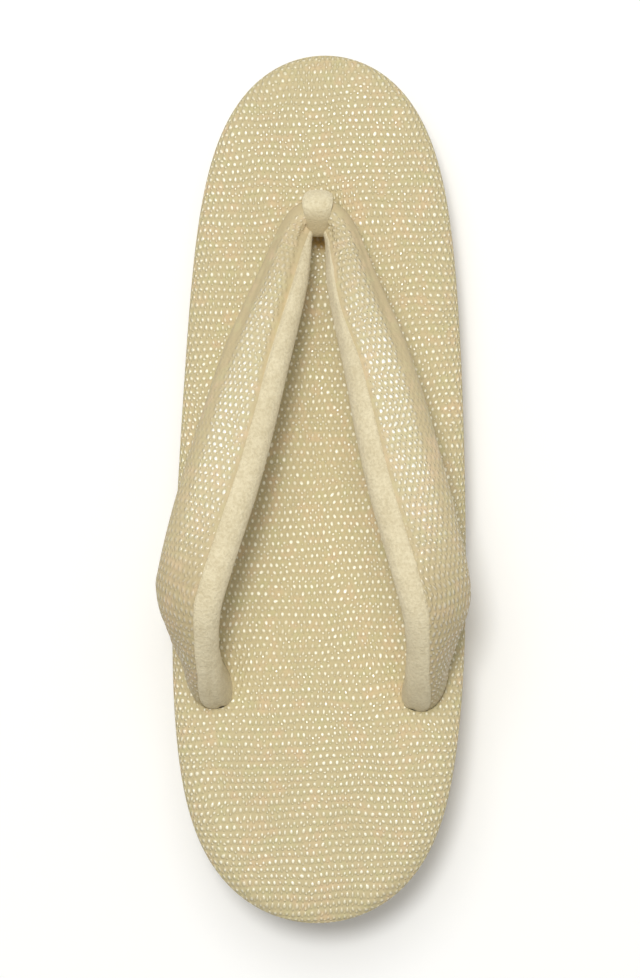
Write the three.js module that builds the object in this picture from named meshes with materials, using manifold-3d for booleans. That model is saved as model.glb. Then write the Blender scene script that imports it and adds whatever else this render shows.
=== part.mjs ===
// A zori sandal for kimono, one shoe that fits either foot.
// Millimetres, +Z up, toes toward +Y. The origin is on the floor under the middle of the sole.
import * as THREE from 'three';
import { mergeVertices } from 'three/addons/utils/BufferGeometryUtils.js';
import Module from 'manifold-3d';

// Plan of the sole
const SHOE_LENGTH = 230;
const SHOE_WIDTH = 77.8;
const WIDEST_FROM_HEEL = 84;

// Heights of the footbed's top above the floor, and where the wedge climbs between them
const BALL_HEIGHT = 28;
const HEEL_HEIGHT = 47;
const BALL_FROM_HEEL = 160;
const HEEL_FLAT_LENGTH = 36;
const TOE_LIFT = 2.5;

// Layers of the sole
const FOOTBED_THICKNESS = 8;
const FOOTBED_CROWN = 0.8;
const RIM_RADIUS = 3;
const RIM_UNDERCUT = 1;
const OUTSOLE_THICKNESS = 4;
const LAYER_GAP = 0.3;
const MIDSOLE_INSET = 1.2;
const SIDE_TAPER = 2.4;
const OUTSOLE_INSET = 3.0;
const EDGE_CHAMFER = 0.8;

// Where the outsole leaves the floor
const TOE_SPRING = 7;
const TOE_SPRING_LENGTH = 58;
const ARCH_LIFT = 2;
const ARCH_LENGTH = 54;
const ARCH_FROM_HEEL = 103;

// Tread grooves across the outsole
const GROOVE_WIDTH = 1.8;
const GROOVE_DEPTH = 1.4;
const GROOVE_PITCH = 6;
const GROOVE_EDGE = 7;
const BALL_GROOVES = 7;
const HEEL_GROOVES = 6;

// Strap: one band from hole to hole over the toe post
const POST_FROM_TOE = 42.3;
const STRAP_REACH = 123.9;
const HOLE_FROM_SIDE = 12.4;
const STRAP_RISE = 33;
const STRAP_WIDTH = 26;
const STRAP_THICKNESS = 8.6;
const STRAP_CROWN = 0.58;
const STRAP_WALL = 1.6;
const STRAP_GAP = 0.3;
const STRAP_WRAP = 28;
const STRAP_ANCHOR_DEPTH = 15;
const HOLE_CLEARANCE = 0.4;

// Toe post: a loop around the joint of the two arms, on a stem in the front hole
const LOOP_WALL = 1.8;
const LOOP_EDGE_RADIUS = 1;
const LOOP_WIDTH = 8;
const LOOP_REAR_WIDTH = 4.3;
const STEM_WIDTH = 5.6;
const STEM_LENGTH = 7.2;
const STEM_DEPTH = 15;

// How finely the curves are cut
const OUTLINE_STEPS = 22;
const STRAP_STEPS = 30;
const ARC_STEPS = 11;
const RIM_STEPS = 3;
const POST_ARC_DEGREES = 16;
const CROWDING = 1.2;
const SLOPE_REACH = 0.004;
const SQUARENESS = 2.3;

const HEEL_Y = -SHOE_LENGTH / 2;
const TOE_Y = SHOE_LENGTH / 2;
const WIDEST_Y = HEEL_Y + WIDEST_FROM_HEEL;
const POST_Y = TOE_Y - POST_FROM_TOE;
const HOLE_FROM_MIDDLE = SHOE_WIDTH / 2 - HOLE_FROM_SIDE;

const wasm = await Module();
wasm.setup();

// A value that eases from 0 at one place to 1 at another
const ease = (from, to, at) => THREE.MathUtils.smoothstep(at, from, to);

// The plan is a rounded square at both ends, drawn in from the widest place by its taper
const ENDS = {
  toe: { taper: 0.226, squareness: 8.7 },
  heel: { taper: 0.245, squareness: 6.25 },
};

// Points of the plan, counter-clockwise from the heel tip, closer together around both ends
function outlinePoints() {
  const right = [];
  for (const [end, tipY] of [['heel', HEEL_Y], ['toe', TOE_Y]]) {
    const { taper, squareness } = ENDS[end];
    for (let i = 0; i < OUTLINE_STEPS; i += 1) {
      const step = (end === 'heel' ? OUTLINE_STEPS - i : i) / OUTLINE_STEPS;
      const t = 1 - (1 - step) ** 2;
      const width = (1 - taper * t * t) * Math.sqrt(1 - t ** squareness);
      right.push(new THREE.Vector2(SHOE_WIDTH / 2 * width, THREE.MathUtils.lerp(WIDEST_Y, tipY, t)));
    }
  }
  const left = right.slice(1).reverse().map((p) => new THREE.Vector2(-p.x, p.y));
  return [...right, new THREE.Vector2(0, TOE_Y), ...left];
}
const OUTLINE = outlinePoints();
const OUTWARD = OUTLINE.map((point, i) => {
  const next = OUTLINE[(i + 1) % OUTLINE.length];
  const last = OUTLINE[(i + OUTLINE.length - 1) % OUTLINE.length];
  return new THREE.Vector2(next.y - last.y, last.x - next.x).normalize();
});

// Height of the footbed's top over the floor on the centre line
function topHeight(y) {
  const ballY = HEEL_Y + BALL_FROM_HEEL;
  const climb = ease(0, 1, (ballY - y) / (ballY - HEEL_Y - HEEL_FLAT_LENGTH));
  const lift = Math.max(0, (y - ballY) / (TOE_Y - ballY)) ** 2;
  return BALL_HEIGHT + (HEEL_HEIGHT - BALL_HEIGHT) * climb + TOE_LIFT * lift;
}

// Height of the outsole's underside: flat under heel and ball, raised at the arch and the toes
function floorHeight(y) {
  const archY = HEEL_Y + ARCH_FROM_HEEL;
  const arch = Math.max(0, 1 - (2 * (y - archY) / ARCH_LENGTH) ** 2) ** 2;
  const spring = Math.max(0, 1 - (TOE_Y - y) / TOE_SPRING_LENGTH) ** 2;
  return ARCH_LIFT * arch + TOE_SPRING * spring;
}

// One ring of the sole: the plan drawn in by an inset, or gathered toward the centre line by a share
function ring(height, inset, gather = 0) {
  return OUTLINE.map((point, i) => {
    const y = point.y - OUTWARD[i].y * inset;
    const spineY = THREE.MathUtils.clamp(y, HEEL_Y + SHOE_WIDTH / 2, TOE_Y - SHOE_WIDTH / 2);
    const x = (point.x - OUTWARD[i].x * inset) * (1 - gather);
    const at = THREE.MathUtils.lerp(y, spineY, gather);
    return new THREE.Vector3(x, at, height(at, gather));
  });
}

// A closed body from rings that follow one another, with the given faces over both end rings
function loft(rings, capFaces = []) {
  const around = rings[0].length;
  const last = (rings.length - 1) * around;
  const faces = [];
  for (let r = 0; r < last; r += around) {
    for (let i = 0; i < around; i += 1) {
      const j = (i + 1) % around;
      faces.push(r + i, r + j, r + around + j, r + i, r + around + j, r + around + i);
    }
  }
  for (const [a, b, c] of capFaces) faces.push(a, c, b, last + a, last + b, last + c);
  return closed(rings.flat(), faces);
}

// Vertices are merged, and faces that shrank to a line are left out
function closed(points, faces) {
  const geometry = new THREE.BufferGeometry().setFromPoints(points);
  geometry.setIndex(faces);
  const merged = mergeVertices(geometry, 1e-4);
  const kept = [];
  const index = merged.index.array;
  for (let i = 0; i < index.length; i += 3) {
    const [a, b, c] = [index[i], index[i + 1], index[i + 2]];
    if (a !== b && b !== c && c !== a) kept.push(a, b, c);
  }
  merged.setIndex(kept);
  return merged;
}

const toSolid = (geometry) => new wasm.Manifold(new wasm.Mesh({
  numProp: 3,
  vertProperties: new Float32Array(geometry.attributes.position.array),
  triVerts: new Uint32Array(geometry.index.array),
}));

function toGeometry(solid) {
  const mesh = solid.getMesh();
  const geometry = new THREE.BufferGeometry();
  geometry.setAttribute('position', new THREE.BufferAttribute(mesh.vertProperties, 3));
  geometry.setIndex(new THREE.BufferAttribute(mesh.triVerts, 1));
  return geometry;
}

const cut = (geometry, cutters) => toGeometry(
  cutters.reduce((solid, cutter) => solid.subtract(toSolid(cutter)), toSolid(geometry)),
);

// Footbed: flat below, rolled over at the rim, and a little crowned in the middle
function footbedBody() {
  const crown = (gather) => FOOTBED_CROWN * (1 - (1 - gather) ** 2);
  const under = (y) => topHeight(y) - FOOTBED_THICKNESS;
  const top = (y, gather) => topHeight(y) + crown(gather);
  const rings = [1, 0.5].map((gather) => ring(under, RIM_UNDERCUT, gather));
  rings.push(ring(under, RIM_UNDERCUT));
  rings.push(ring((y) => under(y) + RIM_UNDERCUT, 0));
  for (let i = 0; i <= RIM_STEPS; i += 1) {
    const turn = Math.PI / 2 * i / RIM_STEPS;
    const inset = RIM_RADIUS * (1 - Math.cos(turn));
    rings.push(ring((y) => topHeight(y) - RIM_RADIUS * (1 - Math.sin(turn)), inset));
  }
  for (const gather of [0.3, 0.65, 1]) rings.push(ring(top, RIM_RADIUS, gather));
  return loft(rings);
}

// The midsole's side, a little hollow: shares of its height and of its taper
const MIDSOLE_SIDE = [
  { up: 0.35, drawn: 0.85 },
  { up: 0.70, drawn: 0.40 },
];

// Midsole: the wedge between footbed and outsole, drawn in toward the floor
function midsoleBody() {
  const top = (y) => topHeight(y) - FOOTBED_THICKNESS - LAYER_GAP;
  const bottom = (y) => floorHeight(y) + OUTSOLE_THICKNESS + LAYER_GAP;
  const between = (share) => (y) => THREE.MathUtils.lerp(bottom(y), top(y), share);
  const low = MIDSOLE_INSET + SIDE_TAPER;
  return loft([
    ring(bottom, low, 1),
    ring(bottom, low, 0.5),
    ring(bottom, low),
    ...MIDSOLE_SIDE.map(({ up, drawn }) => ring(between(up), MIDSOLE_INSET + drawn * SIDE_TAPER)),
    ring((y) => top(y) - EDGE_CHAMFER, MIDSOLE_INSET),
    ring(top, MIDSOLE_INSET + EDGE_CHAMFER),
    ring(top, MIDSOLE_INSET + EDGE_CHAMFER, 0.5),
    ring(top, MIDSOLE_INSET + EDGE_CHAMFER, 1),
  ]);
}

// Outsole: a thin rubber sole that follows the floor line, with a chamfer where it meets the floor
function outsoleBody() {
  const top = (y) => floorHeight(y) + OUTSOLE_THICKNESS;
  return loft([
    ring(floorHeight, OUTSOLE_INSET + EDGE_CHAMFER, 1),
    ring(floorHeight, OUTSOLE_INSET + EDGE_CHAMFER, 0.5),
    ring(floorHeight, OUTSOLE_INSET + EDGE_CHAMFER),
    ring((y) => floorHeight(y) + EDGE_CHAMFER, OUTSOLE_INSET),
    ring(top, OUTSOLE_INSET),
    ring(top, OUTSOLE_INSET, 0.5),
    ring(top, OUTSOLE_INSET, 1),
  ]);
}

// Half width of the plan at a place along the shoe, read from the nearest two outline points
function halfWidthAt(y) {
  const side = OUTLINE.filter((point) => point.x >= 0).sort((a, b) => a.y - b.y);
  const i = THREE.MathUtils.clamp(side.findIndex((point) => point.y > y), 1, side.length - 1);
  const share = THREE.MathUtils.clamp((y - side[i - 1].y) / (side[i].y - side[i - 1].y), 0, 1);
  return THREE.MathUtils.lerp(side[i - 1].x, side[i].x, share);
}

// Straight grooves across the two flat treads of the outsole
function treadGrooves() {
  const heelMiddle = HEEL_Y + (ARCH_FROM_HEEL - ARCH_LENGTH / 2) / 2;
  const ballMiddle = (HEEL_Y + ARCH_FROM_HEEL + ARCH_LENGTH / 2 + TOE_Y - TOE_SPRING_LENGTH) / 2;
  const rows = [[heelMiddle, HEEL_GROOVES], [ballMiddle, BALL_GROOVES]];
  return rows.flatMap(([middle, count]) => Array.from({ length: count }, (unused, i) => {
    const y = middle + (i - (count - 1) / 2) * GROOVE_PITCH;
    const length = 2 * (halfWidthAt(y) - OUTSOLE_INSET - GROOVE_EDGE);
    const box = new THREE.BoxGeometry(length, GROOVE_WIDTH, 2 * GROOVE_DEPTH);
    box.deleteAttribute('normal');
    box.deleteAttribute('uv');
    box.translate(0, y, floorHeight(y));
    return mergeVertices(box);
  }));
}

// The strap's course from the toe post to one rear hole. Each row is one section.
// at: share of the way along the arm; back, out, rise: shares of the reach, of the rear hole's
// distance from the middle and of the rise;
// tilt: how far the band leans outward from lying flat, in degrees; wide, thick: shares of the
// band's width and thickness; seam: where the face meets the lining, in degrees from the inner edge.
const STRAP_ROWS = [
  { at: 0.000, back: 0.000, out: 0.000, rise: 0.43, tilt: 0, wide: 0.31, thick: 0.76, seam: 30 },
  { at: 0.025, back: 0.012, out: 0.135, rise: 0.44, tilt: 5, wide: 0.32, thick: 0.76, seam: 32 },
  { at: 0.054, back: 0.042, out: 0.221, rise: 0.46, tilt: 12, wide: 0.35, thick: 0.80, seam: 35 },
  { at: 0.090, back: 0.083, out: 0.273, rise: 0.52, tilt: 18, wide: 0.42, thick: 0.88, seam: 40 },
  { at: 0.160, back: 0.155, out: 0.352, rise: 0.66, tilt: 22, wide: 0.55, thick: 0.98, seam: 45 },
  { at: 0.308, back: 0.320, out: 0.593, rise: 0.91, tilt: 22, wide: 0.72, thick: 1.08, seam: 54 },
  { at: 0.511, back: 0.546, out: 0.869, rise: 1.10, tilt: 22, wide: 0.81, thick: 1.12, seam: 59 },
  { at: 0.660, back: 0.724, out: 1.097, rise: 1.08, tilt: 26, wide: 0.81, thick: 1.12, seam: 59 },
  { at: 0.727, back: 0.809, out: 1.181, rise: 0.96, tilt: 35, wide: 0.81, thick: 1.13, seam: 56 },
  { at: 0.795, back: 0.881, out: 1.149, rise: 0.74, tilt: 55, wide: 0.65, thick: 1.15, seam: 50 },
  { at: 0.869, back: 0.942, out: 1.081, rise: 0.44, tilt: 73, wide: 0.58, thick: 1.19, seam: 44 },
  { at: 0.938, back: 0.984, out: 1.027, rise: 0.11, tilt: 84, wide: 0.58, thick: 1.21, seam: 40 },
  { at: 1.000, back: 1.000, out: 1.000, rise: -0.18, tilt: 88, wide: 0.54, thick: 1.21, seam: 40 },
];

// A column of the table at any share, through every row with matched slopes. Before the first row
// the arm goes on as the mirror of itself, so out turns its sign there and the rest keep theirs.
function column(name, at) {
  const sign = name === 'out' ? -1 : 1;
  const mirror = STRAP_ROWS.slice(1, 3).reverse().map((row) => ({ at: -row.at, [name]: sign * row[name] }));
  const rows = [...mirror, ...STRAP_ROWS];
  const above = rows.findIndex((row) => row.at > at);
  const i = above < 0 ? rows.length - 2 : above - 1;
  const slope = (k) => {
    const before = rows[Math.max(0, k - 1)];
    const after = rows[Math.min(rows.length - 1, k + 1)];
    return (after[name] - before[name]) / (after.at - before.at);
  };
  const span = rows[i + 1].at - rows[i].at;
  const t = (at - rows[i].at) / span;
  const [t2, t3] = [t * t, t * t * t];
  return (2 * t3 - 3 * t2 + 1) * rows[i][name] + (t3 - 2 * t2 + t) * span * slope(i)
    + (3 * t2 - 2 * t3) * rows[i + 1][name] + (t3 - t2) * span * slope(i + 1);
}

// Middle of the band at a share along the right arm
function strapPoint(at) {
  const y = POST_Y - STRAP_REACH * column('back', at);
  const z = topHeight(y) + STRAP_RISE * column('rise', at);
  return new THREE.Vector3(HOLE_FROM_MIDDLE * column('out', at), y, z);
}

// A section's frame: its middle, its way along, the way to its inner edge and the way out of its face
function strapFrame(at) {
  const middle = strapPoint(at);
  const along = strapPoint(at + SLOPE_REACH).sub(strapPoint(at - SLOPE_REACH)).normalize();
  const outward = new THREE.Vector3(0, 0, 1).cross(along).normalize();
  const upward = along.clone().cross(outward);
  const tilt = THREE.MathUtils.degToRad(column('tilt', at));
  const inner = outward.clone().multiplyScalar(-Math.cos(tilt)).addScaledVector(upward, Math.sin(tilt));
  const face = outward.multiplyScalar(Math.sin(tilt)).addScaledVector(upward, Math.cos(tilt));
  return { middle, along, inner, face };
}

// Frames of the right arm from the rear hole to the post, closer together toward the post.
// The first one is the anchor, straight on below the last row of the table.
function armFrames(extra) {
  const frames = [];
  for (let i = STRAP_STEPS; i >= 0; i -= 1) {
    const at = (i / STRAP_STEPS) ** CROWDING;
    frames.push({ at, ...strapFrame(at) });
  }
  const hole = frames[0];
  const depth = hole.middle.z - topHeight(hole.middle.y) + STRAP_ANCHOR_DEPTH + extra;
  const anchor = hole.middle.clone().addScaledVector(hole.along, depth / -hole.along.z);
  return [{ ...hole, middle: anchor }, ...frames];
}

// One point of the band's round section, drawn in by an inset: across toward the inner edge, and
// out of the face, which is fuller than the side that lies against the foot
function sectionPoint(at, degrees, inset) {
  const turn = THREE.MathUtils.degToRad(degrees);
  const bend = (value) => Math.sign(value) * Math.abs(value) ** (2 / SQUARENESS);
  const side = Math.sin(turn) > 0 ? STRAP_CROWN : 1 - STRAP_CROWN;
  const halfWidth = STRAP_WIDTH * column('wide', at) / 2 - inset;
  const height = STRAP_THICKNESS * column('thick', at) * side - inset;
  return new THREE.Vector2(halfWidth * bend(Math.cos(turn)), height * bend(Math.sin(turn)));
}

const arc = (at, from, to, inset) => Array.from({ length: ARC_STEPS + 1 }, (unused, i) => (
  sectionPoint(at, THREE.MathUtils.lerp(from, to, i / ARC_STEPS), inset)
));

// The whole round section, grown by a clearance
const tubeLoop = (at, clearance) => [
  ...arc(at, 0, 180, -clearance),
  ...arc(at, 180, 360, -clearance).slice(1, -1),
];

// The face: a channel from the seam over the outer edge to a short wrap underneath
function faceLoop(at) {
  const halfWidth = STRAP_WIDTH * column('wide', at) / 2;
  const gap = THREE.MathUtils.radToDeg(2 * STRAP_GAP / halfWidth);
  const from = column('seam', at) + gap;
  const to = 180 + STRAP_WRAP - gap;
  return [...arc(at, from, to, 0), ...arc(at, to, from, STRAP_WALL)];
}

// The padded lining: full size where it shows, and drawn in where the face covers it
function liningLoop(at) {
  const seam = column('seam', at);
  const wrap = 180 + STRAP_WRAP;
  return [...arc(at, wrap, 360 + seam, 0), ...arc(at, seam, wrap, STRAP_WALL + STRAP_GAP)];
}

// A body along the whole strap, from the right hole over the post to the left hole
function strapBody(loopAt, extra = 0) {
  const right = armFrames(extra).map(({ at, middle, inner, face }) => loopAt(at).map((point) => (
    middle.clone().addScaledVector(inner, point.x).addScaledVector(face, point.y)
  )));
  const mirror = new THREE.Vector3(-1, 1, 1);
  const left = right.slice(0, -1).reverse().map((loop) => loop.map((p) => p.clone().multiply(mirror)));
  right[right.length - 1].forEach((point) => point.setX(0));
  return loft([...right, ...left], THREE.ShapeUtils.triangulateShape(loopAt(1), []));
}
const strapClearance = () => strapBody((at) => tubeLoop(at, HOLE_CLEARANCE), HOLE_CLEARANCE);

// The post from the side: a round loop about the joint of the arms, narrowing to its stem
const LOOP_MIDDLE = strapPoint(0);
const LOOP_HALF_LENGTH = STRAP_WIDTH * STRAP_ROWS[0].wide / 2 + HOLE_CLEARANCE + LOOP_WALL;
const LOOP_HALF_HEIGHT = STRAP_THICKNESS * STRAP_ROWS[0].thick * STRAP_CROWN + HOLE_CLEARANCE + LOOP_WALL;
function postOutline(inset, deeper) {
  const bottom = topHeight(POST_Y) - STEM_DEPTH - deeper;
  const neck = LOOP_MIDDLE.z - LOOP_HALF_HEIGHT - LOOP_WALL;
  const stem = STEM_LENGTH / 2 - inset;
  const points = [[POST_Y + stem, bottom], [POST_Y + stem, neck]];
  for (let degrees = -30; degrees <= 210; degrees += POST_ARC_DEGREES) {
    const turn = THREE.MathUtils.degToRad(degrees);
    const y = POST_Y + (LOOP_HALF_LENGTH - inset) * Math.cos(turn);
    points.push([y, LOOP_MIDDLE.z + (LOOP_HALF_HEIGHT - inset) * Math.sin(turn)]);
  }
  points.push([POST_Y - stem, neck], [POST_Y - stem, bottom]);
  return points.map(([y, z]) => new THREE.Vector2(y, z));
}

// The loop is broad in front and slim behind, where it goes down between the arms
function postHalfWidth(y, z) {
  const rearY = POST_Y - LOOP_HALF_LENGTH;
  const loop = THREE.MathUtils.lerp(LOOP_REAR_WIDTH, LOOP_WIDTH, ease(rearY, POST_Y, y)) / 2;
  const above = ease(LOOP_MIDDLE.z - LOOP_HALF_HEIGHT, LOOP_MIDDLE.z, z);
  return THREE.MathUtils.lerp(STEM_WIDTH / 2, loop, above);
}

// Slices of the post from its left side to its right side, with rounded edges
function postBody(clearance = 0) {
  const slices = [[-1, 1], [-0.85, 0.3], [-0.5, 0], [0, 0], [0.5, 0], [0.85, 0.3], [1, 1]];
  const rings = slices.map(([side, rounded]) => (
    postOutline(rounded * LOOP_EDGE_RADIUS - clearance, clearance).map(({ x: y, y: z }) => (
      new THREE.Vector3(side * (postHalfWidth(y, z) + clearance), y, z)
    ))
  ));
  return loft(rings, THREE.ShapeUtils.triangulateShape(postOutline(0, 0), []));
}

const COLOURS = {
  footbed: { color: '#d3c29a', roughness: 0.45, metalness: 0.0 },
  midsole: { color: '#cdbb92', roughness: 0.7, metalness: 0.0 },
  outsole: { color: '#b39c74', roughness: 0.8, metalness: 0.0 },
  strap_upper: { color: '#cfc3a0', roughness: 0.4, metalness: 0.0 },
  strap_lining: { color: '#e4d9b6', roughness: 0.95, metalness: 0.0 },
  toe_post: { color: '#e4d9b6', roughness: 0.95, metalness: 0.0 },
};

const strapHoles = strapClearance();
const postHole = postBody(HOLE_CLEARANCE);
const bodies = {
  footbed: cut(footbedBody(), [strapHoles, postHole]),
  midsole: cut(midsoleBody(), [strapHoles, postHole]),
  outsole: cut(outsoleBody(), treadGrooves()),
  strap_upper: strapBody(faceLoop),
  strap_lining: strapBody(liningLoop),
  toe_post: cut(postBody(), [strapHoles]),
};

const group = new THREE.Group();
for (const [name, geometry] of Object.entries(bodies)) {
  const mesh = new THREE.Mesh(geometry, new THREE.MeshStandardMaterial(COLOURS[name]));
  mesh.name = name;
  group.add(mesh);
}
export default group;
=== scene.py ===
import math

import bmesh
import bpy
from mathutils import Matrix, Vector


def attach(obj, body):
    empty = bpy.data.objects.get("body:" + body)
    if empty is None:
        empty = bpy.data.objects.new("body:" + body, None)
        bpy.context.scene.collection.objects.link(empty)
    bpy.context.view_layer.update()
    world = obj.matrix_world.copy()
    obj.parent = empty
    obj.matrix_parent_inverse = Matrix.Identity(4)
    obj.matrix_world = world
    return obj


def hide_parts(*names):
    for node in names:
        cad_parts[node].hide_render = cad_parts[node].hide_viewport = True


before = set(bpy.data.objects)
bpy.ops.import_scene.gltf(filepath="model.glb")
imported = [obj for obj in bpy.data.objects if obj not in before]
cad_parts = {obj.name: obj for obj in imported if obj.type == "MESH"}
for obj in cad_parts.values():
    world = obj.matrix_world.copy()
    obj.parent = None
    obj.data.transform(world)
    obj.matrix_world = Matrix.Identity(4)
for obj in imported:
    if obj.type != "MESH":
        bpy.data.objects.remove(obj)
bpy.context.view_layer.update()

# Outsole. A thin sheet of beige synthetic rubber under the whole shoe, moulded with straight
# cross grooves under the ball and the heel, and glued to the foam above it.

MM = 0.001
SAME_SPOT = 1e-4
SHOE_WIDTH = 77.8
HEEL_Y = -114.5
TOE_Y = 116.1
WIDEST_Y = -31.0
TOE_TAPER, TOE_SQUARENESS = 0.226, 8.7
HEEL_TAPER, HEEL_SQUARENESS = 0.245, 6.25
AROUND = 320
LEATHER_MAP = "leather_mm"

OUTSOLE_THICKNESS = 4.0
OUTSOLE_INSET = 3.0
OUTSOLE_TOP_CHAMFER = 0.3
TREAD_CHAMFER = 0.8
TOE_SPRING, TOE_SPRING_LENGTH = 7.0, 58.0
ARCH_LIFT, ARCH_LENGTH, ARCH_Y = 2.0, 54.0, -12.0
GROOVE_WIDTH, GROOVE_DEPTH, GROOVE_PITCH, GROOVE_EDGE = 1.8, 1.4, 6.0, 7.0
GROOVE_ROUNDING = 0.45
BALL_GROOVES_Y, HEEL_GROOVES_Y = (18.0, 54.0), (-92.0, -62.0)
CUT_CREASE = 40


def blend(low, high, share):
    return low + (high - low) * share


def ease(start, end, value):
    share = min(1.0, max(0.0, (value - start) / (end - start)))
    return share * share * (3 - 2 * share)


def half_width_at(y):
    toeward = y > WIDEST_Y
    tip = TOE_Y if toeward else HEEL_Y
    taper = TOE_TAPER if toeward else HEEL_TAPER
    squareness = TOE_SQUARENESS if toeward else HEEL_SQUARENESS
    t = min(1.0, abs((y - WIDEST_Y) / (tip - WIDEST_Y)))
    return SHOE_WIDTH / 2 * (1 - taper * t * t) * math.sqrt(1 - t**squareness)


def plan_spot(place):
    """A point of the sole's plan, counted round from the heel tip over the right side."""
    place = place % AROUND
    right = place <= AROUND / 2
    along = place if right else AROUND - place
    step = along / (AROUND / 4) - 1
    tip = TOE_Y if step > 0 else HEEL_Y
    y = blend(WIDEST_Y, tip, math.sin(abs(step) * math.pi / 2))
    return Vector((half_width_at(y) if right else -half_width_at(y), y))


PLAN = [plan_spot(place) for place in range(AROUND)]
PLAN_OUTWARD = []
for place in range(AROUND):
    run = PLAN[(place + 1) % AROUND] - PLAN[place - 1]
    PLAN_OUTWARD.append(Vector((run.y, -run.x)).normalized())


def floor_height(y):
    arch = max(0.0, 1 - (2 * (y - ARCH_Y) / ARCH_LENGTH) ** 2) ** 2
    spring = max(0.0, 1 - (TOE_Y - y) / TOE_SPRING_LENGTH) ** 2
    return ARCH_LIFT * arch + TOE_SPRING * spring


def lifted(height, by):
    return lambda y: height(y) + by


def lay_flat(bm, flat):
    """Maps the leather as if it were laid flat, in mm."""
    uv = bm.loops.layers.uv.new(LEATHER_MAP)
    for face in bm.faces:
        for loop in face.loops:
            loop[uv].uv = loop.vert[flat].xy


def sole_body(rings):
    """A closed layer of the sole: one ring of edges is extruded from the spine, out and round to
    the spine again. A ring is its inset, its gather toward the spine, its height as a function
    of y, and how far the leather has run out past the plan's edge when it gets there."""
    bm = bmesh.new()
    place = bm.verts.layers.int.new("place")
    flat = bm.verts.layers.float_vector.new("flat")
    verts = bmesh.ops.create_circle(bm, cap_ends=False, segments=AROUND, radius=1)["verts"]
    for vert in verts:
        turn = math.atan2(vert.co.y, vert.co.x) / (2 * math.pi)
        vert[place] = round(turn * AROUND) % AROUND
    edges = bm.edges[:]
    for number, (inset, gather, height, run) in enumerate(rings):
        if number:
            made = bmesh.ops.extrude_edge_only(bm, edges=edges)["geom"]
            verts = [part for part in made if isinstance(part, bmesh.types.BMVert)]
            fresh = set(verts)
            edges = [
                part
                for part in made
                if isinstance(part, bmesh.types.BMEdge) and fresh.issuperset(part.verts)
            ]
        for vert in verts:
            spot = PLAN[vert[place]]
            outward = PLAN_OUTWARD[vert[place]]
            edge = spot - outward * inset
            spine = min(TOE_Y - SHOE_WIDTH / 2, max(HEEL_Y + SHOE_WIDTH / 2, edge.y))
            y = blend(edge.y, spine, gather)
            vert.co = (edge.x * (1 - gather), y, height(y))
            laid = spot + outward * run
            vert[flat] = (blend(laid.x, 0, gather), blend(laid.y, spine, gather), 0)
    bmesh.ops.remove_doubles(bm, verts=bm.verts[:], dist=SAME_SPOT)
    bmesh.ops.recalc_face_normals(bm, faces=bm.faces[:])
    lay_flat(bm, flat)
    return bm


def make_piece(bm, name):
    """Millimetres become metres, and the mesh becomes an object at the origin."""
    bmesh.ops.scale(bm, vec=(MM, MM, MM), verts=bm.verts[:])
    mesh = bpy.data.meshes.new(name)
    bm.to_mesh(mesh)
    bm.free()
    for polygon in mesh.polygons:
        polygon.use_smooth = True
    piece = bpy.data.objects.new(name, mesh)
    bpy.context.scene.collection.objects.link(piece)
    return piece


def cut_away(piece, cutter, crease_degrees):
    """Takes the cutter's shape out of the piece and keeps the cut's edge crisp."""
    cut = piece.modifiers.new("cut", "BOOLEAN")
    cut.operation = "DIFFERENCE"
    cut.solver = "EXACT"
    cut.object = cutter
    shown = piece.evaluated_get(bpy.context.evaluated_depsgraph_get())
    mesh = bpy.data.meshes.new_from_object(shown)
    piece.modifiers.clear()
    piece.data = mesh
    mesh.set_sharp_from_angle(angle=math.radians(crease_degrees))
    bpy.data.objects.remove(cutter)


def hex_colour(code):
    """An sRGB hex colour as linear RGBA."""
    channels = [int(code[i : i + 2], 16) / 255 for i in (1, 3, 5)]
    return tuple(
        c / 12.92 if c <= 0.04045 else ((c + 0.055) / 1.055) ** 2.4 for c in channels
    ) + (1.0,)


def add_node(tree, kind, links=None, **settings):
    """Adds a node, with its settings, and its sockets given by name or number."""
    node = tree.nodes.new(kind)
    for name, value in settings.items():
        setattr(node, name, value)
    for socket, source in (links or {}).items():
        if isinstance(source, bpy.types.NodeSocket):
            tree.links.new(source, node.inputs[socket])
        else:
            node.inputs[socket].default_value = source
    return node


def noise(tree, vector, size, detail, output="Fac", roughness=0.5):
    """Soft noise with patches of about this size."""
    links = {"Vector": vector, "Scale": 1 / size, "Detail": detail, "Roughness": roughness}
    return add_node(tree, "ShaderNodeTexNoise", links).outputs[output]


def mixed(tree, share, low, high):
    """One colour turning into another. A colour is a hex code or a socket."""
    low, high = (hex_colour(end) if isinstance(end, str) else end for end in (low, high))
    links = {0: share, 6: low, 7: high}
    return add_node(tree, "ShaderNodeMix", links, data_type="RGBA").outputs[2]


def number_math(tree, operation, *values, **settings):
    """A number worked out of one, two or three others."""
    links = dict(enumerate(values))
    node = add_node(tree, "ShaderNodeMath", links, operation=operation, **settings)
    return node.outputs[0]


def bumped(tree, height, depth):
    """The normal of a surface that stands up by this depth where its height is 1."""
    links = {"Height": height, "Distance": depth, "Strength": 1.0}
    return add_node(tree, "ShaderNodeBump", links).outputs["Normal"]


def put_surface(tree, sockets):
    surface = add_node(tree, "ShaderNodeBsdfPrincipled", sockets)
    add_node(tree, "ShaderNodeOutputMaterial", {"Surface": surface.outputs["BSDF"]})


def new_material(name, slot_colour):
    """An empty material whose preview colour is the finish's own."""
    material = bpy.data.materials.new(name)
    material.use_nodes = True
    material.node_tree.nodes.clear()
    material.diffuse_color = hex_colour(slot_colour)
    return material


def fasten(piece, node, material):
    """The piece stands for its CAD node, in the given material."""
    piece.data.materials.clear()
    piece.data.materials.append(material)
    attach(piece, "root")
    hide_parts(node)


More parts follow.
